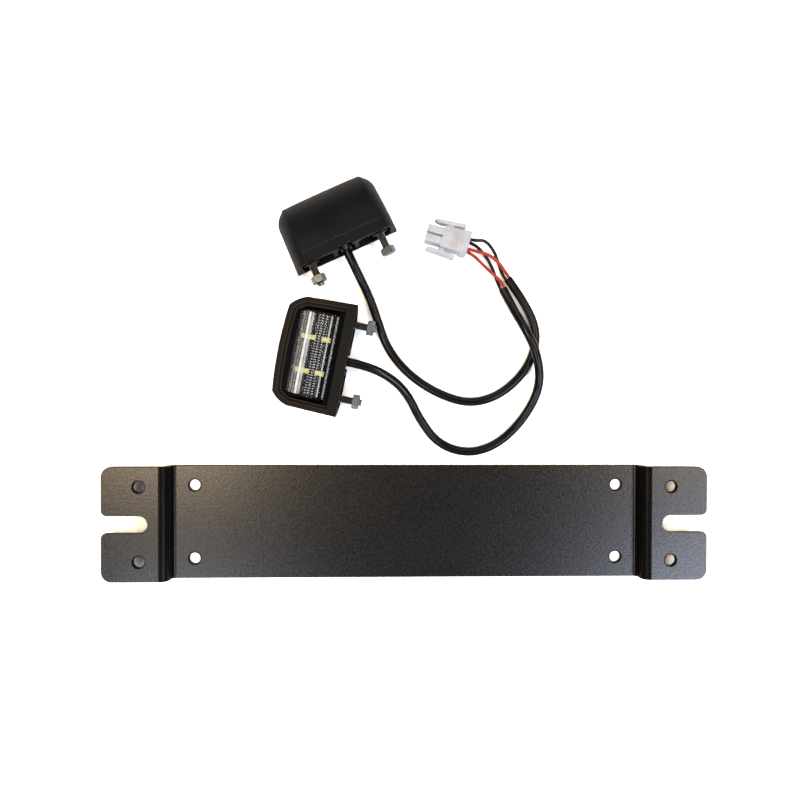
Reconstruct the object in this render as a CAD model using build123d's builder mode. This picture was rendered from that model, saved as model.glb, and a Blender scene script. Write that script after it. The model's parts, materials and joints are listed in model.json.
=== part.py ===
from build123d import *
import math
import os

os.makedirs("parts", exist_ok=True)

# plate bracket, mm
sheet = 3.0
bracket_length = 378.2
bracket_width = 71.6
tab_length = 43.6
joggle_rise = 10.0
bend_inner = 2.5
hole_radius = 3.5
panel_hole_inset = 11.4
tab_hole_inset = 23.1
hole_pitch = 46.4
slot_width = 10.4
slot_depth = 23.2
mouth_radius = 3.5
corner_radius = 6.5
edge_break = 0.4
pick_slack = 0.01
rim_tilt = 0.1

# number plate lamp, mm
lamp_height = 26.0
base_half = 34.5
side_half = 33.3
side_end = 30.2
corner_width = 7.0
far_corner = 40.4
far_middle = 41.8
corner_arc_inset = 3.0
corner_arc_y = 36.4
crease_inset = 7.0
crease_slope = 0.6
side_lean = 0.05
form_floor = 1.0
rim_wall = 2.4
cap_least = 0.8
back_flat = 9.0
form_stations = (-2.2, 0, 3, 6, 9, 13, 18, 23, 28, 31.5, 34.5, 37.5, 40, 42.2)
wall = 2.2
base_depth = 6.2
rim_land = 2.4
lens_opening = 5.0
slope_depth = 2.2
lip_depth = 3.0
lens_fit = 0.6
lens_plate = 2.4
flute_border = 8.0
flute_base = 1.5
flute_pitch = 3.0
flute_count = 8
flute_rise = 0.7
lens_gap = 0.15
flute_bond = 0.5
board_length = 54.0
board_width = 20.5
board_thick = 1.6
board_level = 10.4
board_centre = 22.0
post_radius = 2.2
post_x = 22.0
post_y = 6.5
led_length = 2.8
led_thick = 1.3
led_x = 10.5
near_led_width = 5.6
near_led_centre = 15.7
far_led_width = 8.8
far_led_centre = 26.7
chip_length = 3.2
chip_width = 1.6
chip_thick = 0.6
chip_x = 6.0
board_round = 1.5
flute_edge = 2.4
prism_pitch = 1.7
prism_count = 30
prism_centre = 20.3
prism_width = 0.8
prism_length = 2.8
prism_height = 0.6

# studs, nuts and the cable bush in the lamp base
stud_level = 12.0
stud_radius = 2.45
stud_reach = 13.4
stud_hole = 2.6
head_flats = 8.0
head_thick = 3.4
nut_flats = 8.0
nut_thick = 4.4
near_nut_seats = (7.6, 7.6)
far_nut_seats = (8.8, 7.0)
nut_bore = 2.5
nut_crown = 0.5
pocket_depth = 4.2
pocket_low = 3.0
pocket_high = 22.6
pocket_outer = 6.6
rib_inner = 6.0
rib_thick = 2.4
rib_stop = 7.6
boss_half_length = 5.4
boss_half_width = 3.9
boss_front = 1.0
stud_tip_chamfer = 0.5
pocket_round = 3.5
bush_slot_top = 20.5
notch_half = 4.4
notch_depth = 1.8
notch_overlap = 1.0
bush_hole = 3.45
bush_collar = 4.6
bush_neck = 3.35
bush_nose = 3.1
bush_inside = 1.8
bush_collar_thick = 1.6

# plug, mm
plug_pitch = 6.0
tower_side = 4.7
tower_length = 10.3
plug_body_length = 12.6
plug_body_width = 13.6
plug_body_height = 13.0
flange_length = 4.5
flange_width = 15.0
flange_height = 14.4
plug_bore = 1.6
wing_front = 10.8
wing_back = -8.0
wing_thick = 2.3
wing_stagger = 1.1
wing_height = 8.0
wing_standoff = 1.7
wing_splay = 4.5
wing_web_length = 2.4
wing_web_x = 0.8
wing_nose = 5.0
wing_nose_share = 0.62
wing_nose_bulge = 0.3
wing_web_height = 6.0
wing_web_overlap = 0.8
plug_round = 0.8
tower_round = 0.4
flange_chamfer = 0.7
plug_tip = 14.0
tower_bore = 1.2
bore_step = -2.0
terminal_radius = 1.05
terminal_front = 12.5
terminal_back = -8.0
terminal_collar = 1.5
terminal_collar_length = 1.2
terminal_crimp = 1.3

# leads, mm
cable_diameter = 5.6
wire_diameter = 2.1

far_lamp_spot = (-38.0, 170.2)
far_lamp_turn = 24.87
near_lamp_spot = (-37.26, 100.78)
near_lamp_turn = 78.64
half_turn = 180.0
plug_spot = (25.1, 178.3)
plug_turn = 164.6
bend_share = 0.45

far_cable_points = [
    (-38.0, 170.2, 12.0),
    (-32.533, 158.406, 12.0),
    (-24.42, 143.05, 5.6),
    (-19.37, 129.22, 2.8),
    (-12.98, 109.9, 2.8),
    (1.17, 92.87, 2.8),
    (20.71, 80.45, 2.8),
    (41.19, 74.63, 2.8),
    (61.15, 81.31, 2.8),
    (77.87, 98.44, 2.8),
    (83.53, 118.95, 2.8),
    (75.65, 138.72, 2.8),
    (63.91, 154.62, 2.8),
]
near_cable_points = [
    (-37.26, 100.78, 14.0),
    (-23.172, 97.95, 14.0),
    (-7.23, 89.03, 7.8),
    (1.72, 78.27, 2.8),
    (7.57, 65.71, 2.8),
    (19.32, 49.47, 2.8),
    (38.26, 42.92, 2.8),
    (57.51, 48.47, 2.8),
    (74.77, 65.23, 2.8),
    (85.2, 86.34, 4.8),
    (80.98, 107.49, 11.5),
    (73.65, 121.93, 11.5),
    (66.96, 135.36, 5.5),
    (60.74, 147.98, 3.2),
]
far_red_points = [
    (64.714, 155.214, 3.95),
    (62.042, 158.834, 3.95),
    (58.004, 163.836, 6.4),
    (51.359, 168.694, 9.0),
    (39.729, 171.159, 10.2),
    (32.016, 173.283, 10.2),
]
far_black_points = [
    (63.106, 154.026, 1.65),
    (60.433, 157.646, 1.65),
    (58.027, 164.681, 2.5),
    (54.868, 171.552, 5.2),
    (48.706, 177.856, 8.8),
    (41.322, 176.943, 10.2),
    (33.609, 179.068, 10.2),
]
near_red_points = [
    (61.555, 148.589, 4.335),
    (59.286, 153.192, 3.496),
    (54.564, 156.647, 5.5),
    (48.767, 161.641, 6.3),
    (39.729, 171.159, 4.2),
    (32.016, 173.283, 4.2),
]
near_black_points = [
    (59.925, 147.371, 2.065),
    (57.962, 151.355, 1.339),
    (53.939, 162.568, 1.7),
    (48.202, 171.18, 3.0),
    (41.322, 176.943, 4.2),
    (33.609, 179.068, 4.2),
]

far_half = side_half - corner_width
corner_arc_x = side_half - corner_arc_inset
crease_half = side_half - crease_inset
corner_edge = ThreePointArc((side_half, side_end), (corner_arc_x, corner_arc_y), (far_half, far_corner))
corner_centre = corner_edge.arc_center
corner_radius_plan = corner_edge.radius
back_rise = lamp_height - rim_wall
back_run = far_middle - back_flat
back_radius = (back_run**2 + back_rise**2) / (2 * back_rise)


def hexagon_across(flats):
    # corner radius of a hexagon from its width across flats
    return flats / 2 / math.cos(math.radians(30))


def end_edges(piece, reach):
    # upright edges on the two ends of the bracket at one distance from its middle line
    upright = piece.edges().filter_by(Axis.Z)
    level = upright.filter_by(lambda e: abs(abs(e.center().Y) - reach) < pick_slack)
    return level.filter_by(lambda e: abs(abs(e.center().X) - half_length) < pick_slack)


def on_rim(face):
    # true for the cut faces of the sheet: its outline and the walls of its holes and slots
    if abs(face.normal_at().Z) > rim_tilt:
        return False
    if face.geom_type == GeomType.PLANE:
        crank_wall = abs(face.normal_at().X) > 1 - rim_tilt and abs(face.center().X) < wall_outer + sheet
        return not crank_wall
    return face.area < bracket_width * bend_inner


# The bracket is one strip bent twice near each end, so the tabs stand above the panel.
half_length = bracket_length / 2
panel_half = half_length - tab_length
panel_hole_x = panel_half - panel_hole_inset
tab_hole_x = half_length - tab_hole_inset
slot_centre_x = half_length - slot_depth
wall_inner = panel_half + bend_inner
wall_outer = wall_inner + sheet
bend_outer = bend_inner + sheet
tab_top = joggle_rise + sheet
with BuildPart() as plate_bracket:
    with BuildSketch(Plane.XZ):
        with BuildLine():
            Polyline(
                (-half_length, joggle_rise),
                (-wall_outer, joggle_rise),
                (-wall_outer, 0),
                (wall_outer, 0),
                (wall_outer, joggle_rise),
                (half_length, joggle_rise),
                (half_length, tab_top),
                (wall_inner, tab_top),
                (wall_inner, sheet),
                (-wall_inner, sheet),
                (-wall_inner, tab_top),
                (-half_length, tab_top),
                close=True,
            )
        make_face()
    extrude(amount=bracket_width / 2, both=True)
    bend_edges = plate_bracket.edges().filter_by(Axis.Y)
    lower_outer = bend_edges.filter_by_position(Axis.Z, -pick_slack, pick_slack)
    fillet(lower_outer, radius=bend_outer)
    bend_edges = plate_bracket.edges().filter_by(Axis.Y)
    upper_outer = bend_edges.filter_by_position(Axis.Z, tab_top - pick_slack, tab_top + pick_slack)
    upper_outer = upper_outer.filter_by_position(Axis.X, -wall_outer, wall_outer)
    fillet(upper_outer, radius=bend_outer)
    bend_edges = plate_bracket.edges().filter_by(Axis.Y)
    lower_inner = bend_edges.filter_by_position(Axis.Z, sheet - pick_slack, sheet + pick_slack)
    lower_inner = lower_inner.filter_by_position(Axis.X, -wall_outer, wall_outer)
    fillet(lower_inner, radius=bend_inner)
    bend_edges = plate_bracket.edges().filter_by(Axis.Y)
    upper_inner = bend_edges.filter_by_position(Axis.Z, joggle_rise - pick_slack, joggle_rise + pick_slack)
    upper_inner = upper_inner.filter_by_position(Axis.X, -wall_outer - pick_slack, wall_outer + pick_slack)
    fillet(upper_inner, radius=bend_inner)
    with BuildSketch(Plane.XY):
        with GridLocations(2 * panel_hole_x, hole_pitch, 2, 2):
            Circle(hole_radius)
        with GridLocations(2 * tab_hole_x, hole_pitch, 2, 2):
            Circle(hole_radius)
        for side in (-1, 1):
            slot_reach = half_length - slot_centre_x
            with Locations((side * (slot_centre_x + slot_reach / 2), 0)):
                Rectangle(slot_reach, slot_width)
            with Locations((side * slot_centre_x, 0)):
                Circle(slot_width / 2)
    extrude(amount=tab_top + sheet, mode=Mode.SUBTRACT)
    fillet(end_edges(plate_bracket, bracket_width / 2), radius=corner_radius)
    fillet(end_edges(plate_bracket, slot_width / 2), radius=mouth_radius)
    rim_faces = plate_bracket.faces().filter_by(on_rim)
    rim_edges = []
    for face in rim_faces:
        for edge in face.edges():
            owners = [other for other in rim_faces if any(edge.is_same(e) for e in other.edges())]
            if len(owners) == 1:
                rim_edges.append(edge)
    chamfer(rim_edges, length=edge_break)
plate_bracket.part.label = "plate_bracket"
export_step(plate_bracket.part, "parts/plate_bracket.step")


def back_height(depth):
    # height of the curved back above the lens plane, flat near the base and then an arc
    if depth <= back_flat:
        return lamp_height
    return lamp_height - back_radius + math.sqrt(back_radius**2 - (depth - back_flat) ** 2)


def side_reach(depth):
    # half length of the form at a depth, along its straight side
    return base_half - (base_half - side_half) * depth / side_end


def cap_reach(depth):
    # half length at a depth, along the side and then round the corner arc of the outline
    straight = side_reach(depth)
    if depth <= side_end:
        return straight
    if depth >= far_corner:
        return crease_half + cap_least
    reach = math.sqrt(corner_radius_plan**2 - (depth - corner_centre.Y) ** 2)
    return min(straight, max(corner_centre.X + reach, crease_half) + cap_least)


def lamp_form(inset):
    # outer form of the lamp, or with an inset the simpler form of its hollow inside the corners
    with BuildPart() as form:
        for depth in form_stations if inset == 0 else form_stations[:-1]:
            crease = crease_half - inset / 2
            half = cap_reach(depth) if inset == 0 else side_reach(depth) - inset
            height = back_height(depth) - inset
            fall = crease_slope * (base_half - crease_half) / (half - crease)
            with BuildSketch(Plane.XZ.offset(depth)):
                with BuildLine():
                    Line((-half, -form_floor), (half, -form_floor))
                    Line((half, -form_floor), (half, 0))
                    Spline((half, 0), (crease, height), tangents=((-side_lean, 1), (-1, fall)))
                    Line((crease, height), (-crease, height))
                    Spline((-crease, height), (-half, 0), tangents=((-1, -fall), (-side_lean, -1)))
                    Line((-half, 0), (-half, -form_floor))
                make_face()
        loft()
        with BuildSketch(Plane.XY):
            with BuildLine():
                Line((base_half, 0), (-base_half, 0))
                Line((-base_half, 0), (-side_half, -side_end))
                ThreePointArc((-side_half, -side_end), (-corner_arc_x, -corner_arc_y), (-far_half, -far_corner))
                ThreePointArc((-far_half, -far_corner), (0, -far_middle), (far_half, -far_corner))
                ThreePointArc((far_half, -far_corner), (corner_arc_x, -corner_arc_y), (side_half, -side_end))
                Line((side_half, -side_end), (base_half, 0))
            make_face()
            if inset > 0:
                offset(amount=-inset, kind=Kind.INTERSECTION)
        extrude(amount=lamp_height - inset, mode=Mode.INTERSECT)
    return form.part


# The outer form is parted into the housing and the base it closes on.
parting = Plane.XZ.offset(base_depth)
with BuildPart() as outer_form:
    add(lamp_form(0))

with BuildPart() as hollow_form:
    add(lamp_form(wall))
    split(bisect_by=Plane.XY.offset(lip_depth), keep=Keep.TOP)


def lens_outline(inset, back):
    # plan outline of the lamp drawn in by an inset and cut straight along the base side
    with BuildSketch(Plane.XY) as outline:
        with BuildLine():
            Line((base_half, 0), (-base_half, 0))
            Line((-base_half, 0), (-side_half, -side_end))
            ThreePointArc((-side_half, -side_end), (-corner_arc_x, -corner_arc_y), (-far_half, -far_corner))
            ThreePointArc((-far_half, -far_corner), (0, -far_middle), (far_half, -far_corner))
            ThreePointArc((far_half, -far_corner), (corner_arc_x, -corner_arc_y), (side_half, -side_end))
            Line((side_half, -side_end), (base_half, 0))
        make_face()
        offset(amount=-inset, kind=Kind.INTERSECTION)
        with Locations((0, -back - base_half)):
            Rectangle(4 * base_half, 2 * base_half, mode=Mode.INTERSECT)
    return outline.sketch


with BuildPart() as board_posts:
    with BuildSketch(Plane.XY.offset(board_level + board_thick)):
        with Locations((0, -board_centre)):
            with GridLocations(2 * post_x, 2 * post_y, 2, 2):
                Circle(post_radius)
    extrude(amount=lamp_height)
    add(outer_form.part, mode=Mode.INTERSECT)

with BuildPart() as lamp_housing:
    add(outer_form.part)
    split(bisect_by=parting, keep=Keep.TOP)
    add(hollow_form.part, mode=Mode.SUBTRACT)
    with BuildSketch(Plane.XY):
        add(lens_outline(rim_land, 0))
    with BuildSketch(Plane.XY.offset(slope_depth)):
        add(lens_outline(lens_opening, 0))
    loft(mode=Mode.SUBTRACT)
    with BuildSketch(Plane.XY.offset(slope_depth)):
        add(lens_outline(lens_opening, 0))
    extrude(amount=lip_depth - slope_depth, mode=Mode.SUBTRACT)
    add(board_posts.part)

# Each stud stands in a boss that is pointed at both ends.
with BuildSketch() as stud_boss:
    with BuildLine():
        ThreePointArc((-boss_half_length, 0), (0, boss_half_width), (boss_half_length, 0))
        ThreePointArc((boss_half_length, 0), (0, -boss_half_width), (-boss_half_length, 0))
    make_face()

stud_x = hole_pitch / 2
pocket_width = stud_x + pocket_outer - rib_inner - rib_thick
pocket_middle = (stud_x + pocket_outer + rib_inner + rib_thick) / 2
pocket_height = pocket_high - pocket_low
with BuildPart() as lamp_base:
    add(outer_form.part)
    split(bisect_by=parting, keep=Keep.BOTTOM)
    with BuildSketch(Plane.XZ):
        for side in (-1, 1):
            with Locations((side * pocket_middle, pocket_low + pocket_height / 2)):
                RectangleRounded(pocket_width, pocket_height, pocket_round)
        with Locations((0, (pocket_low + rib_stop) / 2)):
            Rectangle(2 * pocket_middle, rib_stop - pocket_low)
        with Locations((0, (pocket_low + bush_slot_top) / 2)):
            RectangleRounded(2 * rib_inner, bush_slot_top - pocket_low, pocket_round)
    extrude(amount=pocket_depth, mode=Mode.SUBTRACT)
    with BuildSketch(Plane.XZ):
        with Locations((0, lamp_height)):
            Rectangle(2 * notch_half, 2 * (lamp_height - bush_slot_top + notch_overlap))
    extrude(amount=notch_depth, mode=Mode.SUBTRACT)
    with BuildSketch(Plane.XZ.offset(boss_front)):
        for side in (-1, 1):
            with Locations((side * stud_x, stud_level)):
                add(stud_boss.sketch)
    extrude(amount=pocket_depth - boss_front)
    with BuildSketch(Plane.XZ):
        for side in (-1, 1):
            with Locations((side * stud_x, stud_level)):
                Circle(stud_hole)
        with Locations((0, stud_level)):
            Circle(bush_hole)
    extrude(amount=base_depth, mode=Mode.SUBTRACT)

lens_top = lip_depth + lens_plate
flute_start = -base_depth - flute_edge
with BuildPart() as flute_block:
    with BuildSketch(Plane.YZ):
        with BuildLine():
            flute_points = []
            for index in range(flute_count + 1):
                flute_points.append((flute_start - index * flute_pitch, lip_depth - flute_base))
            for index in range(flute_count):
                start = flute_points[index]
                stop = flute_points[index + 1]
                crest = ((start[0] + stop[0]) / 2, start[1] - flute_rise)
                ThreePointArc(start, crest, stop)
            Line(flute_points[-1], (flute_points[-1][0], lip_depth + flute_bond))
            Line((flute_points[-1][0], lip_depth + flute_bond), (flute_start, lip_depth + flute_bond))
            Line((flute_start, lip_depth + flute_bond), flute_points[0])
        make_face()
    extrude(amount=base_half, both=True)
    with BuildSketch(Plane.XY):
        add(lens_outline(flute_border, 0))
    extrude(amount=lamp_height, mode=Mode.INTERSECT)

with BuildPart() as lamp_lens:
    with BuildSketch(Plane.XY.offset(lip_depth)):
        add(lens_outline(wall + lens_fit, base_depth + lens_gap))
    extrude(amount=lens_plate)
    add(flute_block.part)
    with BuildSketch(Plane.XY.offset(lens_top)):
        with Locations((0, -prism_centre)):
            with GridLocations(prism_pitch, 0, prism_count, 1):
                Rectangle(prism_width, prism_length)
    extrude(amount=prism_height)

with BuildPart() as lamp_board:
    with BuildSketch(Plane.XY.offset(board_level)):
        with Locations((0, -board_centre)):
            RectangleRounded(board_length, board_width, board_round)
    extrude(amount=board_thick)

with BuildPart() as lamp_leds:
    with BuildSketch(Plane.XY.offset(board_level - led_thick)):
        for side in (-1, 1):
            with Locations((side * led_x, -near_led_centre)):
                Rectangle(led_length, near_led_width)
            with Locations((side * led_x, -far_led_centre)):
                Rectangle(led_length, far_led_width)
    extrude(amount=led_thick)

with BuildPart() as lamp_resistors:
    with BuildSketch(Plane.XY.offset(board_level + board_thick)):
        with Locations((0, -board_centre)):
            with GridLocations(2 * chip_x, 0, 2, 1):
                Rectangle(chip_length, chip_width)
    extrude(amount=chip_thick)

with BuildPart() as lamp_studs:
    with BuildSketch(Plane.XZ.offset(base_depth)):
        for side in (-1, 1):
            with Locations((side * stud_x, stud_level)):
                RegularPolygon(hexagon_across(head_flats), 6, rotation=30)
    extrude(amount=head_thick)
    with BuildSketch(Plane.XZ.offset(base_depth)):
        for side in (-1, 1):
            with Locations((side * stud_x, stud_level)):
                Circle(stud_radius)
    extrude(amount=-base_depth - stud_reach)
    tip_edges = lamp_studs.edges().filter_by(GeomType.CIRCLE).group_by(Axis.Y)[-1]
    chamfer(tip_edges, length=stud_tip_chamfer)


with BuildPart() as nut_crown_form:
    Cylinder(hexagon_across(nut_flats), nut_thick, align=(Align.CENTER, Align.CENTER, Align.MIN))
    chamfer(nut_crown_form.edges().filter_by(GeomType.CIRCLE), length=nut_crown)

with BuildPart() as nut:
    with BuildSketch(Plane.XY):
        RegularPolygon(hexagon_across(nut_flats), 6)
        Circle(nut_bore, mode=Mode.SUBTRACT)
    extrude(amount=nut_thick)
    add(nut_crown_form.part, mode=Mode.INTERSECT)

with BuildPart() as near_nuts:
    for side, seat in zip((-1, 1), near_nut_seats):
        with Locations(Location((side * stud_x, seat, stud_level), (-90, 0, 0))):
            add(nut.part)

with BuildPart() as far_nuts:
    for side, seat in zip((-1, 1), far_nut_seats):
        with Locations(Location((side * stud_x, seat, stud_level), (-90, 0, 0))):
            add(nut.part)

# The rubber bush has a collar on each side of the base web and a nose that tapers to the cable.
with BuildPart() as cable_bush:
    with BuildSketch(Plane.XY.offset(stud_level)):
        with BuildLine():
            Polyline(
                (0, -base_depth - bush_inside),
                (bush_collar, -base_depth - bush_inside),
                (bush_collar, -base_depth),
                (bush_neck, -base_depth),
                (bush_neck, -pocket_depth),
                (bush_collar, -pocket_depth),
                (bush_collar, -pocket_depth + bush_collar_thick),
                (bush_nose, 0),
                (0, 0),
                close=True,
            )
        make_face()
    revolve(axis=Axis((0, 0, stud_level), (0, 1, 0)))

# The plug is drawn with its mating end towards plus X and its axis on X.
plug_front = plug_tip - tower_length
body_back = plug_front - plug_body_length
plug_back = body_back - flange_length
plug_level = flange_height / 2
web_y = plug_body_width / 2 + wing_standoff / 2
wing_tip = wing_front - wing_web_x
nose_start = (wing_tip - wing_nose, 0)
nose_end = (wing_tip, wing_thick * wing_nose_share)
nose_middle = (wing_tip - wing_nose / 2, nose_end[1] / 2 - wing_nose_bulge)
with BuildSketch() as wing_outline:
    with BuildLine():
        Line((wing_back - wing_web_x, 0), nose_start)
        ThreePointArc(nose_start, nose_middle, nose_end)
        Line(nose_end, (wing_tip, wing_thick))
        Line((wing_tip, wing_thick), (wing_back - wing_web_x, wing_thick))
        Line((wing_back - wing_web_x, wing_thick), (wing_back - wing_web_x, 0))
    make_face()

with BuildPart() as plug_wing:
    with BuildSketch(Plane.XY.offset(-wing_web_height / 2)):
        with Locations((wing_web_x, web_y)):
            Rectangle(wing_web_length, wing_standoff + wing_web_overlap)
    extrude(amount=wing_web_height)
    with BuildSketch(Plane.XY.offset(-wing_height / 2)):
        with Locations(Location((wing_web_x, web_y + wing_standoff / 2, 0), (0, 0, -wing_splay))):
            add(wing_outline.sketch)
    extrude(amount=wing_height)

with BuildPart() as plug_housing:
    with BuildSketch(Plane.YZ.offset(plug_front)):
        RectangleRounded(plug_body_width, plug_body_height, plug_round)
    extrude(amount=-plug_body_length)
    with BuildSketch(Plane.YZ.offset(body_back)):
        RectangleRounded(flange_width, flange_height, plug_round)
    extrude(amount=-flange_length)
    flange_edges = plug_housing.edges().group_by(Axis.X)[0]
    chamfer(flange_edges, length=flange_chamfer)
    with BuildSketch(Plane.YZ.offset(plug_front)):
        with GridLocations(plug_pitch, plug_pitch, 2, 2):
            RectangleRounded(tower_side, tower_side, tower_round)
    extrude(amount=tower_length)
    with BuildSketch(Plane.YZ.offset(plug_tip)):
        with GridLocations(plug_pitch, plug_pitch, 2, 2):
            Circle(tower_bore)
    extrude(amount=-plug_tip + plug_back, mode=Mode.SUBTRACT)
    with BuildSketch(Plane.YZ.offset(plug_back)):
        with GridLocations(plug_pitch, plug_pitch, 2, 2):
            Circle(plug_bore)
    extrude(amount=bore_step - plug_back, mode=Mode.SUBTRACT)
    with Locations((wing_stagger, 0)):
        add(plug_wing.part)
    with Locations((-wing_stagger, 0)):
        add(mirror(plug_wing.part, about=Plane.XZ))

with BuildPart() as plug_terminals:
    for row in (-1, 1):
        for column in (-1, 1):
            terminal_axis = (column * plug_pitch / 2, row * plug_pitch / 2)
            with BuildSketch(Plane.YZ.offset(terminal_back)):
                with Locations(terminal_axis):
                    Circle(terminal_crimp)
            extrude(amount=bore_step - terminal_collar_length - terminal_back)
            with BuildSketch(Plane.YZ.offset(bore_step - terminal_collar_length)):
                with Locations(terminal_axis):
                    Circle(terminal_collar)
            extrude(amount=terminal_collar_length)
            with BuildSketch(Plane.YZ.offset(bore_step)):
                with Locations(terminal_axis):
                    Circle(terminal_radius)
            extrude(amount=terminal_front - bore_step)

# Everything is put in its place in the laid out kit and written out.
lamp_pieces = {
    "housing": lamp_housing,
    "base": lamp_base,
    "lens": lamp_lens,
    "board": lamp_board,
    "leds": lamp_leds,
    "resistors": lamp_resistors,
    "studs": lamp_studs,
    "bush": cable_bush,
}
far_place = Location((far_lamp_spot[0], far_lamp_spot[1], 0), (0, 0, far_lamp_turn + half_turn))
near_place = Location((near_lamp_spot[0], near_lamp_spot[1], lamp_height), (0, 0, near_lamp_turn - half_turn))
plug_place = Location((plug_spot[0], plug_spot[1], plug_level), (0, 0, plug_turn))
flip = Location((0, 0, 0), (0, half_turn, 0))
placements = []
for name, piece in lamp_pieces.items():
    placements.append(("far_lamp_" + name, piece.part, far_place))
    placements.append(("near_lamp_" + name, piece.part, near_place * flip))
placements.append(("far_lamp_nuts", far_nuts.part, far_place))
placements.append(("near_lamp_nuts", near_nuts.part, near_place * flip))
placements.append(("plug_housing", plug_housing.part, plug_place))
placements.append(("plug_terminals", plug_terminals.part, plug_place))
for name, shape, place in placements:
    with BuildPart() as placed:
        with Locations(place):
            add(shape)
    placed.part.label = name
    export_step(placed.part, "parts/" + name + ".step")
    box = placed.part.bounding_box()
    print(name, len(placed.part.solids()), round(placed.part.volume, 1), box)


def lead_radii(points):
    # each bend takes under half of its shorter run, so neighbouring bends never meet
    radii = []
    for before, here, after in zip(points, points[1:], points[2:]):
        arrive = Vector(*here) - Vector(*before)
        leave = Vector(*after) - Vector(*here)
        half_turn = math.radians(arrive.get_angle(leave)) / 2
        radii.append(bend_share * min(arrive.length, leave.length) / math.tan(half_turn))
    return radii


leads = {
    "far_lamp_cable": (far_cable_points, cable_diameter),
    "near_lamp_cable": (near_cable_points, cable_diameter),
    "far_red_wire": (far_red_points, wire_diameter),
    "far_black_wire": (far_black_points, wire_diameter),
    "near_red_wire": (near_red_points, wire_diameter),
    "near_black_wire": (near_black_points, wire_diameter),
}
for name, (points, diameter) in leads.items():
    radii = lead_radii(points)
    with BuildPart() as lead:
        with BuildLine() as route:
            FilletPolyline(*points, radius=radii)
        first_run = Vector(*points[1]) - Vector(*points[0])
        with BuildSketch(Plane(origin=points[0], z_dir=first_run)):
            Circle(diameter / 2)
        sweep()
    lead.part.label = name
    export_step(lead.part, "parts/" + name + ".step")
    length = sum(edge.length for edge in route.edges())
    expected = length * math.pi * diameter**2 / 4
    print(name, "length", round(length, 1), "radii", [round(r / diameter, 1) for r in radii])
    print(name, "volume against section times length", round(lead.part.volume / expected, 4))
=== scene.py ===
import json
import math

import bpy
from mathutils import Matrix, Vector


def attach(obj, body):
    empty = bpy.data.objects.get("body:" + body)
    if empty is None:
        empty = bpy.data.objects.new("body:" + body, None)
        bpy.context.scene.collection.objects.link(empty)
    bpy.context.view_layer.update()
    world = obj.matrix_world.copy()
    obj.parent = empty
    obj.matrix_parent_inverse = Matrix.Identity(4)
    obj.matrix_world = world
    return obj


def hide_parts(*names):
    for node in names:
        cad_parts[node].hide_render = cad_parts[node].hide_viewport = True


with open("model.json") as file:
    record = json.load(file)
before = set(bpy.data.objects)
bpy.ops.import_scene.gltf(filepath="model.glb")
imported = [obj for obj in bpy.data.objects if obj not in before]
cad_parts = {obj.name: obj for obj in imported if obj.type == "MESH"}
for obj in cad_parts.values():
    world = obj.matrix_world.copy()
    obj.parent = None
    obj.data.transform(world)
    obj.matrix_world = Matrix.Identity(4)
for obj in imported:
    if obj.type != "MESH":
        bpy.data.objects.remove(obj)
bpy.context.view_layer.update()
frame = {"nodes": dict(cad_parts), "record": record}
nodes = frame["nodes"]
bpy.ops.object.select_all(action="DESELECT")

mm = 0.001

# The camera looks down from a little under half a metre with a slight tilt, as the photograph was taken.
camera_spot = (-16.67 * mm, 82.55 * mm, 445.0 * mm)
camera_tilt = (-0.696, -1.573, 0.144)
camera_lens = 31.3
camera_sensor = 36.0

# The white floor: its own white, the white that gloss and clear pieces show, and the white for the camera.
floor_width = 9.0
floor_white = 0.82
mirrored_white = 1.25
camera_white = 2.4
lit_reach = 0.5
unlit_reach = 0.9
room_light = 0.06
light_aim = (0, 0.08, 0)

# A colour Mix node's sockets go by number, because it has several of each name.
mix_factor = 0
mix_first = 6
mix_second = 7
mix_result = 2

# Sizes of the lamps, in their own frame: lens plane at height 0, base face at depth 0, studs towards +Y.
lamp_height = 26.0 * mm
stud_level = 12.0 * mm
stud_x = 23.2 * mm
stud_reach = 13.4 * mm
base_depth = 6.2 * mm
head_thick = 3.4 * mm
head_flats = 8.0 * mm
thread_crest = 2.45 * mm
thread_root = 2.03 * mm
thread_pitch = 0.8 * mm
thread_steps = 28
ridge_bite = 0.03 * mm
neck_length = 2.2 * mm
stud_sides = 40
seam_depth = 6.8 * mm
seam_width = 0.4 * mm
crease_half = 26.0 * mm
gate_x = 1.9 * mm
gate_depth = 8.4 * mm
gate_radius = 1.5 * mm
gate_line = 0.35 * mm
gate_arc_end = 0.3 * mm
outer_edge_height = 0.35 * mm
inner_edge_height = 2.0 * mm
edge_line = 0.18 * mm
far_lamp_place = Matrix.Translation((-38.0 * mm, 170.2 * mm, 0)) @ Matrix.Rotation(
    math.radians(204.87), 4, "Z"
)
near_lamp_place = (
    Matrix.Translation((-37.26 * mm, 100.78 * mm, lamp_height))
    @ Matrix.Rotation(math.radians(-101.36), 4, "Z")
    @ Matrix.Rotation(math.radians(180), 4, "Y")
)
lamp_place = {"far_lamp": far_lamp_place, "near_lamp": near_lamp_place}

# Painted streaks of light along the flutes of a lens: depth and half width in mm, strength and colour.
flute_lights = [
    (5.7, 0.3, 0.3, "#a08c6a"),
    (10.4, 0.7, 0.45, "#b8c4d6"),
    (13.9, 0.5, 0.85, "#d8c4a2"),
    (15.4, 0.3, 0.2, "#b9b3a6"),
    (23.9, 0.35, 0.25, "#b9a98c"),
    (25.4, 0.7, 0.7, "#e6cfa6"),
    (27.1, 1.0, 1.0, "#ffffff"),
    (29.2, 0.4, 0.55, "#d6bf9a"),
    (30.8, 0.4, 0.55, "#d6bf9a"),
]
# The same for the painted dots of light in its row of prisms.
flute_dots = [
    (17.0, 0.7, 0.6, "#d9d4c6"),
    (19.4, 0.9, 0.65, "#c9cdd2"),
    (21.4, 0.9, 0.55, "#cfc8b8"),
    (32.4, 0.4, 0.3, "#cfc8b8"),
]
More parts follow.
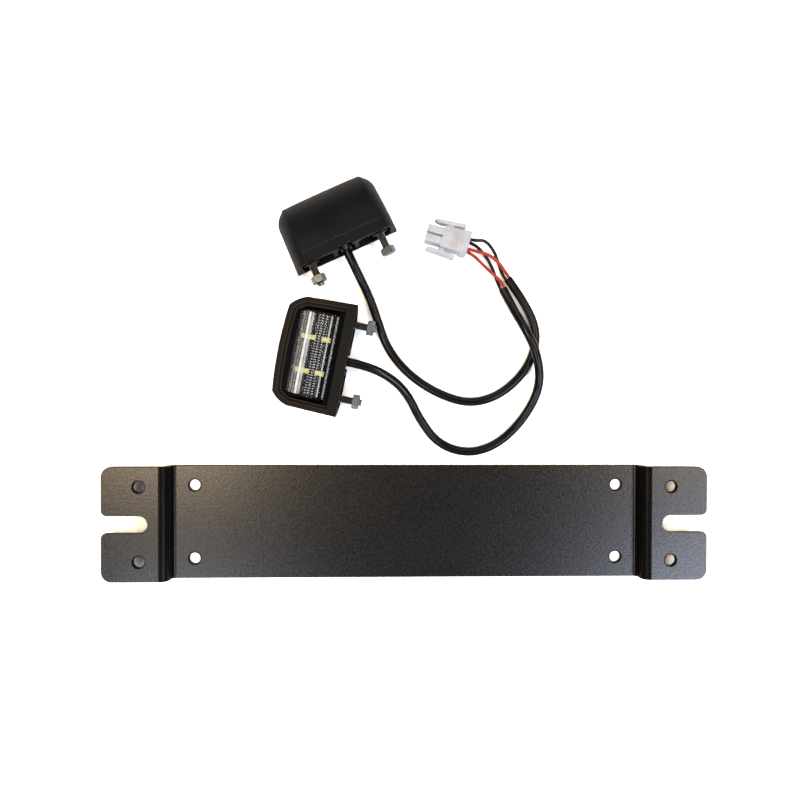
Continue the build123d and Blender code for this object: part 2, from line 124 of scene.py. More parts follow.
# Both are drawn over this depth in mm, and reach this far to each side of the lens's middle.
flute_depth = 42.0
flute_half = 25.0 * mm
rung_pitch = 1.6 * mm
border_depth = 9.3 * mm

# Where the bracket's sheen is taken off as painted shade: round its holes and over its bends.
panel_hole_x = 134.1 * mm
tab_hole_x = 166.0 * mm
hole_y = 23.2 * mm
hole_ring = 4.3 * mm
bend_centre = 150.3 * mm
bend_reach = 3.7 * mm
coat_sheen = 0.6
shaded_sheen = 0.08

# Where the red and the black wires glow through the plug: the spot in mm, strength and colour.
wire_glows = [
    ((28.1, 174.0, 13.0), 0.3, "#d08a88"),
    ((30.4, 180.0, 13.0), 0.35, "#8f9194"),
]
glow_reach = 4.2 * mm

cable_diameter = 5.6 * mm
wire_diameter = 2.1 * mm
route_steps = 16
round_steps = 6

# The routes of the leads, the same points as the solids follow, in millimetres.
far_cable_points = [
    (-38.0, 170.2, 12.0),
    (-32.533, 158.406, 12.0),
    (-24.42, 143.05, 5.6),
    (-19.37, 129.22, 2.8),
    (-12.98, 109.9, 2.8),
    (1.17, 92.87, 2.8),
    (20.71, 80.45, 2.8),
    (41.19, 74.63, 2.8),
    (61.15, 81.31, 2.8),
    (77.87, 98.44, 2.8),
    (83.53, 118.95, 2.8),
    (75.65, 138.72, 2.8),
    (63.91, 154.62, 2.8),
]
near_cable_points = [
    (-37.26, 100.78, 14.0),
    (-23.172, 97.95, 14.0),
    (-7.23, 89.03, 7.8),
    (1.72, 78.27, 2.8),
    (7.57, 65.71, 2.8),
    (19.32, 49.47, 2.8),
    (38.26, 42.92, 2.8),
    (57.51, 48.47, 2.8),
    (74.77, 65.23, 2.8),
    (85.2, 86.34, 4.8),
    (80.98, 107.49, 11.5),
    (73.65, 121.93, 11.5),
    (66.96, 135.36, 5.5),
    (60.74, 147.98, 3.2),
]
far_red_points = [
    (64.714, 155.214, 3.95),
    (62.042, 158.834, 3.95),
    (58.004, 163.836, 6.4),
    (51.359, 168.694, 9.0),
    (39.729, 171.159, 10.2),
    (32.016, 173.283, 10.2),
]
far_black_points = [
    (63.106, 154.026, 1.65),
    (60.433, 157.646, 1.65),
    (58.027, 164.681, 2.5),
    (54.868, 171.552, 5.2),
    (48.706, 177.856, 8.8),
    (41.322, 176.943, 10.2),
    (33.609, 179.068, 10.2),
]
near_red_points = [
    (61.555, 148.589, 4.335),
    (59.286, 153.192, 3.496),
    (54.564, 156.647, 5.5),
    (48.767, 161.641, 6.3),
    (39.729, 171.159, 4.2),
    (32.016, 173.283, 4.2),
]
near_black_points = [
    (59.925, 147.371, 2.065),
    (57.962, 151.355, 1.339),
    (53.939, 162.568, 1.7),
    (48.202, 171.18, 3.0),
    (41.322, 176.943, 4.2),
    (33.609, 179.068, 4.2),
]


def linear(hex_colour):
    # sRGB hex to the linear colour that the shaders use
    channels = [int(hex_colour[i : i + 2], 16) / 255 for i in (1, 3, 5)]
    lit = [c / 12.92 if c <= 0.04045 else ((c + 0.055) / 1.055) ** 2.4 for c in channels]
    return tuple(lit) + (1.0,)


def grey(value):
    return (value, value, value, 1.0)


def spread(first, second):
    # ramp stops from one colour to another over the middle of a noise, where most of its values lie
    return [(0.3, first), (0.7, second)]


def per_metre(size):
    # the pattern scale that makes one cell as wide as a size in millimetres
    return 1 / (size * mm)


def add_node(owner, kind, settings, links=None, output=0):
    # adds one shader node, sets its values, inputs and ramp stops, joins its inputs to other nodes' outputs,
    # and gives back the output that is asked for
    node = owner.node_tree.nodes.new(kind)
    for key, value in settings.items():
        if key == "stops":
            elements = node.color_ramp.elements
            for index, (position, colour) in enumerate(value):
                element = elements[index] if index < 2 else elements.new(position)
                element.position = position
                element.color = colour
        elif isinstance(key, str) and hasattr(node, key):
            setattr(node, key, value)
        else:
            node.inputs[key].default_value = value
    for key, socket in (links or {}).items():
        owner.node_tree.links.new(socket, node.inputs[key])
    return node.outputs[output]


def link(owner, output, target):
    owner.node_tree.links.new(output, target)


def new_material(name, constants):
    # a material whose one surface shader has these constants, and the place on the object for its patterns
    material = bpy.data.materials.new(name)
    material.use_nodes = True
    shader = material.node_tree.nodes["Principled BSDF"]
    for key, value in constants.items():
        shader.inputs[key].default_value = value
    place = add_node(material, "ShaderNodeTexCoord", {}, None, "Object")
    return material, shader, place


def start_finish(name, constants, colours, cloud, gloss=None, grain=None, relief=None):
    # a finish with a cloud of two colours over it, and a grain that drives its roughness and its relief;
    # cloud and grain are a size in millimetres, a detail and a roughness of noise, and relief is a depth
    # in millimetres and a strength; without a grain, the cloud does its work
    material, shader, place = new_material(name, constants)
    patterns = []
    for size, detail, roughness in (cloud, grain) if grain else (cloud,):
        settings = {"Scale": per_metre(size), "Detail": detail, "Roughness": roughness}
        patterns.append(add_node(material, "ShaderNodeTexNoise", settings, {"Vector": place}))
    clouds, grains = patterns[0], patterns[-1]
    stops = spread(linear(colours[0]), linear(colours[1]))
    colour = add_node(material, "ShaderNodeValToRGB", {"stops": stops}, {"Fac": clouds})
    link(material, colour, shader.inputs["Base Color"])
    if gloss:
        stops = spread(grey(gloss[0]), grey(gloss[1]))
        rough = add_node(material, "ShaderNodeValToRGB", {"stops": stops}, {"Fac": grains})
        link(material, rough, shader.inputs["Roughness"])
    if relief:
        depth, strength = relief
        settings = {"Strength": strength, "Distance": depth * mm}
        raised = add_node(material, "ShaderNodeBump", settings, {"Height": grains})
        link(material, raised, shader.inputs["Normal"])
    return material, shader, place, colour


def lamp_axes(material, place, lamp):
    # a lamp's own length, depth from its base face and height, in metres, for patterns that follow its shape
    inverse = lamp_place[lamp].inverted()
    turned = add_node(
        material,
        "ShaderNodeMapping",
        {"Location": inverse.to_translation(), "Rotation": inverse.to_euler()},
        {"Vector": place},
    )
    axes = add_node(material, "ShaderNodeSeparateXYZ", {}, {"Vector": turned}).node.outputs
    depth = add_node(material, "ShaderNodeMath", {"operation": "MULTIPLY", 1: -1.0}, {0: axes["Y"]})
    return axes["X"], depth, axes["Z"]


def powder_coat():
    # Satin black polyester powder coat on steel: a slight orange peel, soft sheen and a few dust nibs.
    # The real orange peel is under a millimetre across; it is drawn at 1.6 mm so that it shows.
    material, shader, place, base = start_finish(
        "satin_black_powder_coat",
        {"IOR": 1.5, "Metallic": 0.0, "Specular IOR Level": coat_sheen},
        colours=("#0e0d0c", "#141312"),
        cloud=(34.0, 3.0, 0.5),
        gloss=(0.22, 0.32),
        grain=(1.6, 3.0, 0.55),
        relief=(0.07, 0.8),
    )
    cells = add_node(material, "ShaderNodeTexVoronoi", {"Scale": per_metre(9.0)}, {"Vector": place})
    at_centres = [(0.0, grey(1)), (0.045, grey(0))]
    nibs = add_node(material, "ShaderNodeValToRGB", {"stops": at_centres}, {"Fac": cells})
    flecked = add_node(
        material,
        "ShaderNodeMix",
        {"data_type": "RGBA", mix_second: linear("#0b0a09")},
        {mix_factor: nibs, mix_first: base},
        mix_result,
    )
    link(material, flecked, shader.inputs["Base Color"])
    # the sheen is taken off over the two bends of each end, a painted shade that keeps them nearly black
    corner = add_node(material, "ShaderNodeVectorMath", {"operation": "ABSOLUTE"}, {0: place})
    outward = add_node(material, "ShaderNodeSeparateXYZ", {}, {"Vector": corner})
    over_bends = {"operation": "COMPARE", 1: bend_centre, 2: bend_reach}
    painted_shade = add_node(material, "ShaderNodeMath", over_bends, {0: outward})
    # it is also taken off round the rim of each hole, a painted shade that draws a dark ring there
    on_the_flat = {"operation": "MULTIPLY", 1: (1.0, 1.0, 0.0)}
    flat = add_node(material, "ShaderNodeVectorMath", on_the_flat, {0: corner})
    for hole_x in (panel_hole_x, tab_hole_x):
        to_centre = {"operation": "DISTANCE", 1: (hole_x, hole_y, 0.0)}
        gap = add_node(material, "ShaderNodeVectorMath", to_centre, {0: flat}, "Value")
        ring = add_node(material, "ShaderNodeMath", {"operation": "LESS_THAN", 1: hole_ring}, {0: gap})
        painted_shade = add_node(material, "ShaderNodeMath", {"operation": "MAXIMUM"}, {0: painted_shade, 1: ring})
    # where the painted shade lies, the sheen drops to its shaded level
    lowered = {"operation": "MULTIPLY_ADD", 1: shaded_sheen - coat_sheen, 2: coat_sheen}
    sheen = add_node(material, "ShaderNodeMath", lowered, {0: painted_shade})
    link(material, sheen, shader.inputs["Specular IOR Level"])
    return material


def lamp_plastic(name, colours, lamp=None):
    # Black ABS from a spark eroded mould: an even matt grain that lifts the light a little.
    material, shader, place, colour = start_finish(
        name,
        {"IOR": 1.5, "Specular IOR Level": 0.14},
        colours,
        cloud=(18.0, 3.0, 0.5),
        gloss=(0.5, 0.62),
        grain=(0.55, 2.0, 0.6),
        relief=(0.03, 0.5),
    )
    if not lamp:
        return material
    length, depth, height = lamp_axes(material, place, lamp)
    # the back's parting seam
    at_seam = {"operation": "COMPARE", 1: seam_depth, 2: seam_width / 2}
    seam = add_node(material, "ShaderNodeMath", at_seam, {0: depth})
    between_creases = {"operation": "COMPARE", 1: 0.0, 2: crease_half}
    on_back = add_node(material, "ShaderNodeMath", between_creases, {0: length})
    seam = add_node(material, "ShaderNodeMath", {"operation": "MULTIPLY"}, {0: seam, 1: on_back})
    # the faint arc that the injection gate left beside it
    plan = add_node(material, "ShaderNodeCombineXYZ", {}, {"X": length, "Y": depth})
    to_gate = {"operation": "DISTANCE", 1: (gate_x, gate_depth, 0.0)}
    reach = add_node(material, "ShaderNodeVectorMath", to_gate, {0: plan}, "Value")
    on_ring = {"operation": "COMPARE", 1: gate_radius, 2: gate_line / 2}
    ring = add_node(material, "ShaderNodeMath", on_ring, {0: reach})
    in_arc = {"operation": "LESS_THAN", 1: gate_depth + gate_arc_end}
    arc = add_node(material, "ShaderNodeMath", in_arc, {0: depth})
    ring = add_node(material, "ShaderNodeMath", {"operation": "MULTIPLY"}, {0: ring, 1: arc})
    marks = add_node(material, "ShaderNodeMath", {"operation": "MAXIMUM"}, {0: seam, 1: ring})
    upper_half = {"operation": "GREATER_THAN", 1: lamp_height / 2}
    high = add_node(material, "ShaderNodeMath", upper_half, {0: height})
    marks = add_node(material, "ShaderNodeMath", {"operation": "MULTIPLY"}, {0: marks, 1: high})
    # the rim's edges get painted highlights, thin tan lines round the lens where the edges would catch the
    # light
    edges = []
    for level in (outer_edge_height, inner_edge_height):
        at_edge = {"operation": "COMPARE", 1: level, 2: edge_line}
        edges.append(add_node(material, "ShaderNodeMath", at_edge, {0: height}))
    edge_highlights = add_node(material, "ShaderNodeMath", {"operation": "MAXIMUM"}, {0: edges[0], 1: edges[1]})
    # the seam and gate arc are the plastic's own marks; the tan edge lines are painted highlights
    for mask, shade in ((marks, "#2c2c2c"), (edge_highlights, "#453e33")):
        colour = add_node(
            material,
            "ShaderNodeMix",
            {"data_type": "RGBA", mix_second: linear(shade)},
            {mix_factor: mask, mix_first: colour},
            mix_result,
        )
    link(material, colour, shader.inputs["Base Color"])
    return material


def streak_stops(streaks):
    # ramp stops that rise and fall again at each streak
    dark = grey(0.0)
    stops = []
    for depth, half_width, strength, colour in streaks:
        lit = tuple(strength * channel for channel in linear(colour)[:3]) + (1.0,)
        for offset, value in ((-half_width, dark), (0.0, lit), (half_width, dark)):
            stops.append(((depth + offset) / flute_depth, value))
    return stops


def let_light_through(material, shader, colour):
    # the piece throws a pale shadow, because most of the light passes through it
    rays = add_node(material, "ShaderNodeLightPath", {}, None, "Is Shadow Ray")
    open_way = add_node(material, "ShaderNodeBsdfTransparent", {"Color": linear(colour)})
    ways = {0: rays, 1: shader.outputs[0], 2: open_way}
    mixed = add_node(material, "ShaderNodeMixShader", {}, ways)
    link(material, mixed, material.node_tree.nodes["Material Output"].inputs["Surface"])


def clear_plastic(lamp):
    # Clear polycarbonate, polished in the mould: shows what is behind it, and its coat gives the gloss.
    # The index is kept low, because the fine flutes would scatter the lights behind them into specks.
    material, shader, place = new_material(
        "clear_polycarbonate_" + lamp,
        {"IOR": 1.05, "Coat Weight": 0.12, "Coat IOR": 1.585, "Coat Roughness": 0.04},
    )
    length, depth = lamp_axes(material, place, lamp)[:2]
    down_the_lens = {"operation": "DIVIDE", 1: flute_depth * mm}
    level = add_node(material, "ShaderNodeMath", down_the_lens, {0: depth})
    # the long streaks are the window's light caught by the flutes, painted here as pale bands that come
    # and go, and the dots between them are its light in the prisms, painted the same way
    faded = add_node(material, "ShaderNodeTexNoise", {"Scale": per_metre(5.0)}, {"Vector": place})
    fading = [(0.3, grey(0.7)), (0.6, grey(1))]
    soft = add_node(material, "ShaderNodeValToRGB", {"stops": fading}, {"Fac": faded})
    once_a_prism = {"operation": "MULTIPLY", 1: 2 * math.pi / rung_pitch}
    turn = add_node(material, "ShaderNodeMath", once_a_prism, {0: length})
    rungs = add_node(material, "ShaderNodeMath", {"operation": "SINE"}, {0: turn})
    dot_fade = add_node(material, "ShaderNodeTexNoise", {"Scale": per_metre(2.2)}, {"Vector": place})
    uneven = add_node(material, "ShaderNodeMath", {"operation": "MULTIPLY"}, {0: rungs, 1: dot_fade})
    dotting = [(0.05, grey(0)), (0.3, grey(1))]
    dots = add_node(material, "ShaderNodeValToRGB", {"stops": dotting}, {"Fac": uneven})
    drawn = []
    for streaks, highlight_fade in ((flute_lights, soft), (flute_dots, dots)):
        bands = add_node(material, "ShaderNodeValToRGB", {"stops": streak_stops(streaks)}, {"Fac": level})
        drawn.append(
            add_node(
                material,
                "ShaderNodeMix",
                {"data_type": "RGBA", "blend_type": "MULTIPLY", mix_factor: 1.0},
                {mix_first: bands, mix_second: highlight_fade},
                mix_result,
            )
        )
    light = add_node(
        material,
        "ShaderNodeMix",
        {"data_type": "RGBA", "blend_type": "ADD", mix_factor: 1.0},
        {mix_first: drawn[0], mix_second: drawn[1]},
        mix_result,
    )
    brightness = add_node(material, "ShaderNodeRGBToBW", {}, {0: light})
    between_ends = {"operation": "COMPARE", 1: 0.0, 2: flute_half}
    inside = add_node(material, "ShaderNodeMath", between_ends, {0: length})
    lit = add_node(material, "ShaderNodeMath", {"operation": "MULTIPLY"}, {0: brightness, 1: inside})
    # the border over the base is painted dark and closed, a painted shade in place of the shaded inside
    # behind it, so nothing behind it shows
    over_base = {"operation": "LESS_THAN", 1: border_depth}
    shaded_border = add_node(material, "ShaderNodeMath", over_base, {0: depth})
    clear = add_node(
        material,
        "ShaderNodeMix",
        {"data_type": "RGBA", mix_first: linear("#eef3f6"), mix_second: linear("#101418")},
        {mix_factor: shaded_border},
        mix_result,
    )
    colour = add_node(
        material,
        "ShaderNodeMix",
        {"data_type": "RGBA", mix_second: linear("#fffaf0")},
        {mix_factor: lit, mix_first: clear},
        mix_result,
    )
    link(material, colour, shader.inputs["Base Color"])
    closed = add_node(material, "ShaderNodeMath", {"operation": "MAXIMUM"}, {0: lit, 1: shaded_border})
    see_through = add_node(material, "ShaderNodeMath", {"operation": "SUBTRACT", 0: 1.0}, {1: closed})
    link(material, see_through, shader.inputs["Transmission Weight"])
    haze = add_node(material, "ShaderNodeTexNoise", {"Scale": per_metre(7.0)}, {"Vector": place})
    hazing = [(0.35, grey(0.0)), (0.75, grey(0.02))]
    rough = add_node(material, "ShaderNodeValToRGB", {"stops": hazing}, {"Fac": haze})
    link(material, rough, shader.inputs["Roughness"])
    let_light_through(material, shader, "#e6ebee")
    return material


def solder_mask():
    # Printed circuit board under black solder mask, with the glass weave just showing. It is duller than
    # the real one, whose gloss would lay a grey veil behind the flutes.
    return start_finish(
        "black_solder_mask",
        {"IOR": 1.5, "Roughness": 0.6, "Specular IOR Level": 0.03},
        colours=("#0f1214", "#1b2024"),
        cloud=(0.8, 1.0, 0.5),
        relief=(0.02, 0.4),
    )[0]


def led_phosphor():
    # Yellow phosphor under clear resin: it is bright and even, a little paler in places.
    return start_finish(
        "yellow_phosphor_resin",
        {"IOR": 1.45, "Roughness": 0.25, "Coat Weight": 0.4},
        colours=("#a8a458", "#c6c27c"),
        cloud=(1.2, 2.0, 0.5),
    )[0]


def chip_ceramic():
    # Chip resistor: dark glazed ceramic.
    return start_finish(
        "glazed_chip_ceramic", {"Roughness": 0.35}, colours=("#0c0c0d", "#1c1c1e"), cloud=(0.7, 1.0, 0.5)
    )[0]


def stud_steel():
    # Plain rolled steel stud: faintly bronze from its oil, and glossier where it is paler.
    return start_finish(
        "rolled_steel_thread",
        {"Metallic": 1.0},
        colours=("#625d56", "#958d82"),
        cloud=(3.0, 4.0, 0.6),
        gloss=(0.42, 0.28),
    )[0]


def zinc_plate():
    # Bright zinc plated steel nut: cool silver grey, with the faint spangle and scuffs of bulk plating.
    return start_finish(
        "bright_zinc_plate",
        {"Metallic": 1.0},
        colours=("#687077", "#929ba3"),
        cloud=(1.3, 4.0, 0.65),
        gloss=(0.36, 0.26),
        relief=(0.03, 0.35),
    )[0]


def rubber():
    # Moulded black rubber bush: smooth and a little glossy.
    return start_finish(
        "black_rubber",
        {"IOR": 1.52},
        colours=("#060607", "#0c0c0d"),
        cloud=(1.5, 3.0, 0.5),
        gloss=(0.2, 0.3),
    )[0]


def sheath(name, colours, gloss, grain_size):
    # Extruded soft vinyl: smooth and glossy, with the slight waviness of an extruded skin.
    return start_finish(
        name,
        {"IOR": 1.5, "Specular IOR Level": 0.3},
        colours,
        cloud=(grain_size * 4, 2.0, 0.5),
        gloss=gloss,
        grain=(grain_size, 2.0, 0.5),
        relief=(0.05, 0.3),
    )[0]


def natural_nylon():
    # Natural nylon 6: milky and slightly see-through, so the wires inside show as a faint glow.
    material, shader, place, colour = start_finish(
        "natural_nylon",
        {
            "IOR": 1.53,
            "Roughness": 0.36,
            "Subsurface Weight": 0.5,
            "Subsurface Radius": (1.0, 0.95, 0.9),
            "Subsurface Scale": 1.6 * mm,
            "Transmission Weight": 0.12,
        },
        colours=("#cbd0d8", "#dde2ea"),
        cloud=(5.0, 3.0, 0.5),
        grain=(0.6, 2.0, 0.5),
        relief=(0.02, 0.3),
    )
    for spot, strength, shade in wire_glows:
        centre = [c * mm for c in spot]
        to_spot = {"operation": "DISTANCE", 1: centre}
        gap = add_node(material, "ShaderNodeVectorMath", to_spot, {0: place}, "Value")
        in_reach = {"operation": "DIVIDE", 1: glow_reach}
        level = add_node(material, "ShaderNodeMath", in_reach, {0: gap})
        falling = [(0.2, grey(1)), (1.0, grey(0))]
        glow = add_node(material, "ShaderNodeValToRGB", {"stops": falling}, {"Fac": level})
        weak = add_node(material, "ShaderNodeMath", {"operation": "MULTIPLY", 1: strength}, {0: glow})
        colour = add_node(
            material,
            "ShaderNodeMix",
            {"data_type": "RGBA", mix_second: linear(shade)},
            {mix_factor: weak, mix_first: colour},
            mix_result,
        )
    link(material, colour, shader.inputs["Base Color"])
    let_light_through(material, shader, "#c8ccd2")
    return material


def contact_metal():
    # Tin plated brass strip contacts: pale gold, with a soft shine.
    return start_finish(
        "tinned_brass",
        {"Metallic": 1.0},
        colours=("#b99a58", "#d9c38a"),
        cloud=(1.0, 2.0, 0.5),
        gloss=(0.35, 0.22),
    )[0]


finishes = {
    "powder_coat": powder_coat(),
    "circuit_board": solder_mask(),
    "led_phosphor": led_phosphor(),
    "chip_resistor": chip_ceramic(),
    "stud_steel": stud_steel(),
    "zinc_nut": zinc_plate(),
    "bush_rubber": rubber(),
    "cable_sheath": sheath("black_vinyl_sheath", ("#08090a", "#101113"), (0.16, 0.24), 3.0),
    "red_wire": sheath("red_vinyl_insulation", ("#b03323", "#c04535"), (0.34, 0.46), 1.4),
    "black_wire": sheath("black_vinyl_insulation", ("#0a0a0a", "#121213"), (0.34, 0.46), 1.4),
    "plug_nylon": natural_nylon(),
    "plug_contact": contact_metal(),
}

# lit copies of one plastic, with the light painted into their colour: the far lamp's tinted cool, as the
# cool window light falls on its back, and the near lamp's warm, as the warm light falls on its rim
lamp_finishes = {
    "far_lamp": {
        "lamp_plastic": lamp_plastic("spark_textured_abs_cool_lit_far", ("#0b0d11", "#13161c"), "far_lamp"),
        "lamp_base_plastic": lamp_plastic("spark_textured_abs_cool_lit_far_base", ("#0b0c0f", "#131519")),
        "clear_lens": clear_plastic("far_lamp"),
    },
    "near_lamp": {
        "lamp_plastic": lamp_plastic("spark_textured_abs_warm_lit_near", ("#141210", "#1d1a17"), "near_lamp"),
        "lamp_base_plastic": lamp_plastic("spark_textured_abs_warm_lit_near_base", ("#12100f", "#1a1816")),
        "clear_lens": clear_plastic("near_lamp"),
    },
}


def dress(piece, finish):
    # gives a piece one finish, on every face
    piece.data.materials.clear()
    piece.data.materials.append(finish)


node_slot = {subpart["node"]: subpart["material_slot"] for subpart in frame["record"]["subparts"]}
for name, node in nodes.items():
    slot = node_slot[name]
    if slot in finishes:
        dress(node, finishes[slot])
    else:
        dress(node, lamp_finishes["far_lamp" if name.startswith("far_lamp") else "near_lamp"][slot])


def hand_over(piece, slot, replaced):
    # dresses a finished piece in the finish of its slot, hangs it on the root body, and hides the CAD piece
    # that it stands in for
    dress(piece, finishes[slot])
    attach(piece, "root")
    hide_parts(replaced)


def lead(name, points, diameter, slot):
    # one lead as a smooth curve through its route, round in section and closed at its ends
    data = bpy.data.curves.new(name, "CURVE")
    data.dimensions = "3D"
    data.resolution_u = route_steps
    data.bevel_depth = diameter / 2
    data.bevel_resolution = round_steps
    data.use_fill_caps = True
    spline = data.splines.new("NURBS")
    spline.points.add(len(points) - 1)
    for control, point in zip(spline.points, points):
        control.co = (point[0] * mm, point[1] * mm, point[2] * mm, 1.0)
    spline.order_u = 3
    spline.use_endpoint_u = True
    piece = bpy.data.objects.new(name + "_cord", data)
    bpy.context.scene.collection.objects.link(piece)
    hand_over(piece, slot, name)


lead("far_lamp_cable", far_cable_points, cable_diameter, "cable_sheath")
lead("near_lamp_cable", near_cable_points, cable_diameter, "cable_sheath")
lead("far_red_wire", far_red_points, wire_diameter, "red_wire")
lead("far_black_wire", far_black_points, wire_diameter, "black_wire")
lead("near_red_wire", near_red_points, wire_diameter, "red_wire")
lead("near_black_wire", near_black_points, wire_diameter, "black_wire")


def apply_modifiers(piece):
    bpy.context.view_layer.objects.active = piece
    piece.select_set(True)
    for modifier in list(piece.modifiers):
        bpy.ops.object.modifier_apply(modifier=modifier.name)
    piece.select_set(False)


def join_pieces(pieces):
    bpy.ops.object.select_all(action="DESELECT")
    for piece in pieces:
        piece.select_set(True)
    bpy.context.view_layer.objects.active = pieces[0]
    bpy.ops.object.join()
    pieces[0].select_set(False)
    return pieces[0]


def thread_ridge(turns, start):
    # a diamond section wound up the shank, whose outer edge is the crest of the thread
    bpy.ops.object.select_all(action="DESELECT")
    ridge_depth = thread_crest - thread_root + ridge_bite
    bpy.ops.mesh.primitive_circle_add(
        vertices=4,
        radius=ridge_depth,
        location=(thread_crest - ridge_depth, 0, start),
        rotation=(math.radians(90), 0, 0),
    )
    ridge = bpy.context.object
    bpy.ops.object.transform_apply(location=True, rotation=True, scale=True)
    winding = ridge.modifiers.new("winding", "SCREW")
    winding.angle = 2 * math.pi
    winding.screw_offset = thread_pitch
    winding.iterations = turns
    winding.steps = thread_steps
    winding.render_steps = thread_steps
    apply_modifiers(ridge)
    ridge.select_set(True)
    bpy.ops.object.mode_set(mode="EDIT")
    bpy.ops.mesh.select_all(action="SELECT")
    bpy.ops.mesh.fill_holes(sides=4)
    bpy.ops.mesh.normals_make_consistent(inside=False)
    bpy.ops.object.mode_set(mode="OBJECT")
    ridge.select_set(False)
    return ridge


def turned_length(sides, radius, start, length, edge, edge_steps, turn=0.0):
    # a round or six-sided length of the stud, standing on the height it starts from, with its edges eased
    bpy.ops.mesh.primitive_cylinder_add(
        vertices=sides,
        radius=radius,
        depth=length,
        location=(0, 0, start + length / 2),
        rotation=(0, 0, turn),
    )
    piece = bpy.context.object
    bpy.ops.object.transform_apply(location=True, rotation=True, scale=True)
    eased = piece.modifiers.new("eased", "BEVEL")
    eased.width = edge
    eased.segments = edge_steps
    apply_modifiers(piece)
    return piece


def threaded_stud():
    # hexagon head, plain neck and rolled thread to a chamfered tip, standing up along +Z from its head
    shank_length = base_depth + stud_reach
    head = turned_length(6, head_flats / math.sqrt(3), 0.0, head_thick, 0.3 * mm, 2, math.radians(30))
    core = turned_length(stud_sides, thread_root, head_thick, shank_length, 0.25 * mm, 2)
    neck = turned_length(stud_sides, thread_crest, head_thick, neck_length, 0.3 * mm, 1)
    turns = int((shank_length - neck_length) / thread_pitch) - 1
    ridge = thread_ridge(turns, head_thick + neck_length)
    return join_pieces([head, core, neck, ridge])


def lamp_studs(lamp):
    # both studs of a lamp, each pushed through the base from inside
    pieces = []
    for side in (-1, 1):
        stud = threaded_stud()
        out_of_base = Matrix.Translation((side * stud_x, -base_depth - head_thick, stud_level))
        place = lamp_place[lamp] @ out_of_base @ Matrix.Rotation(math.radians(-90), 4, "X")
        # set down by its mesh, so that the object itself stays at the origin
        stud.data.transform(place @ stud.matrix_basis)
        stud.matrix_basis = Matrix.Identity(4)
        pieces.append(stud)
    studs = join_pieces(pieces)
    studs.name = lamp + "_threaded_studs"
    studs.data.name = studs.name
    hand_over(studs, "stud_steel", lamp + "_studs")
    bpy.ops.object.select_all(action="DESELECT")
    studs.select_set(True)
    bpy.context.view_layer.objects.active = studs
    bpy.ops.object.shade_smooth_by_angle(angle=math.radians(35))
    studs.select_set(False)


for lamp in lamp_place:
    lamp_studs(lamp)


def floor_and_backdrop():
    # a matt white sheet that is written brighter for the camera, so that its lit part is plain white
    material, shader, place = new_material("studio_floor", {"Roughness": 0.9, "Specular IOR Level": 0.0})
    path = add_node(material, "ShaderNodeLightPath", {}).node.outputs
    in_gloss_or_glass = {0: path["Is Glossy Ray"], 1: path["Is Transmission Ray"]}
    mirrored = add_node(material, "ShaderNodeMath", {"operation": "MAXIMUM"}, in_gloss_or_glass)
    bounced = add_node(
        material,
        "ShaderNodeMix",
        {"data_type": "RGBA", mix_first: grey(floor_white), mix_second: grey(mirrored_white)},
        {mix_factor: mirrored},
        mix_result,
    )
    shade = add_node(
        material,
        "ShaderNodeMix",
        {"data_type": "RGBA", mix_second: grey(camera_white)},
        {mix_factor: path["Is Camera Ray"], mix_first: bounced},
        mix_result,
    )
    link(material, shade, shader.inputs["Base Color"])
    # past the reach of the lights the sheet is plain white to the camera, and so meets the white surround
    gap = add_node(material, "ShaderNodeVectorMath", {"operation": "LENGTH"}, {0: place}, "Value")
    going = [(lit_reach, grey(0)), (unlit_reach, grey(1))]
    far_off = add_node(material, "ShaderNodeValToRGB", {"stops": going}, {"Fac": gap})
    far_and_direct = {0: far_off, 1: path["Is Camera Ray"]}
    seen = add_node(material, "ShaderNodeMath", {"operation": "MULTIPLY"}, far_and_direct)
    plain = add_node(material, "ShaderNodeEmission", {"Color": grey(1.0), "Strength": 1.0})
    mixed = add_node(material, "ShaderNodeMixShader", {}, {0: seen, 1: shader.outputs[0], 2: plain})
    link(material, mixed, material.node_tree.nodes["Material Output"].inputs["Surface"])
    bpy.ops.mesh.primitive_plane_add(size=floor_width, location=(0, 0, 0))
    floor = bpy.context.object
    floor.name = "studio_floor"
    floor.data.materials.append(material)


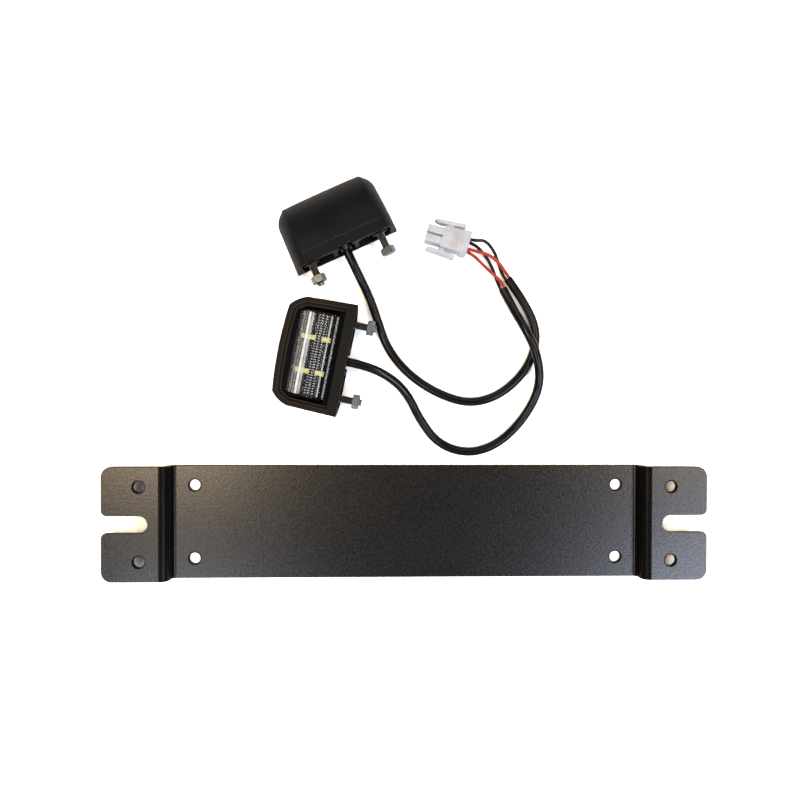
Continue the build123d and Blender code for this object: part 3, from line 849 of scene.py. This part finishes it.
def soft_light(name, spot, width, height, power, colour):
    data = bpy.data.lights.new(name, "AREA")
    data.shape = "RECTANGLE"
    data.size = width
    data.size_y = height
    data.energy = power
    data.color = linear(colour)[:3]
    light = bpy.data.objects.new(name, data)
    bpy.context.scene.collection.objects.link(light)
    light.location = spot
    light.rotation_mode = "QUATERNION"
    light.rotation_quaternion = (Vector(light_aim) - Vector(spot)).to_track_quat("-Z", "Y")


def surround():
    # a dim pale room that the camera sees as plain white
    world = bpy.data.worlds.new("studio")
    bpy.context.scene.world = world
    world.use_nodes = True
    room = world.node_tree.nodes["Background"]
    room.inputs["Color"].default_value = linear("#f4f4f6")
    room.inputs["Strength"].default_value = room_light
    white = add_node(world, "ShaderNodeBackground", {"Color": grey(1.0), "Strength": 1.0})
    seen = add_node(world, "ShaderNodeLightPath", {}, None, "Is Camera Ray")
    mixed = add_node(world, "ShaderNodeMixShader", {}, {0: seen, 1: room.outputs[0], 2: white})
    link(world, mixed, world.node_tree.nodes["World Output"].inputs["Surface"])


def photo_camera():
    data = bpy.data.cameras.new("photo_camera")
    data.sensor_width = camera_sensor
    data.lens = camera_lens
    data.clip_start = 0.01
    data.clip_end = 20
    camera = bpy.data.objects.new("photo_camera", data)
    bpy.context.scene.collection.objects.link(camera)
    camera.location = camera_spot
    camera.rotation_euler = tuple(math.radians(angle) for angle in camera_tilt)
    bpy.context.scene.camera = camera


floor_and_backdrop()
surround()
# soft warm light from the left, and cooler window light from the right and front
soft_light("left_warm_light", (-0.45, 0.17, 1.1), 0.6, 0.34, 6.8, "#ffe4c2")
soft_light("left_cool_light", (-0.45, -0.55, 1.1), 0.4, 0.34, 3.4, "#e8f0ff")
soft_light("right_warm_light", (0.68, 0.2, 1.05), 0.55, 0.34, 5.0, "#ffecda")
soft_light("right_cool_light", (0.68, -0.45, 1.05), 0.55, 0.34, 6.4, "#e1eaff")
soft_light("front_soft_light", (0.0, -0.9, 0.9), 0.9, 0.3, 1.6, "#dfe9ff")
soft_light("back_soft_light", (0.1, 0.9, 0.9), 1.0, 0.3, 2.2, "#ffffff")
photo_camera()
bpy.context.scene.view_settings.view_transform = "Standard"
bpy.context.view_layer.update()
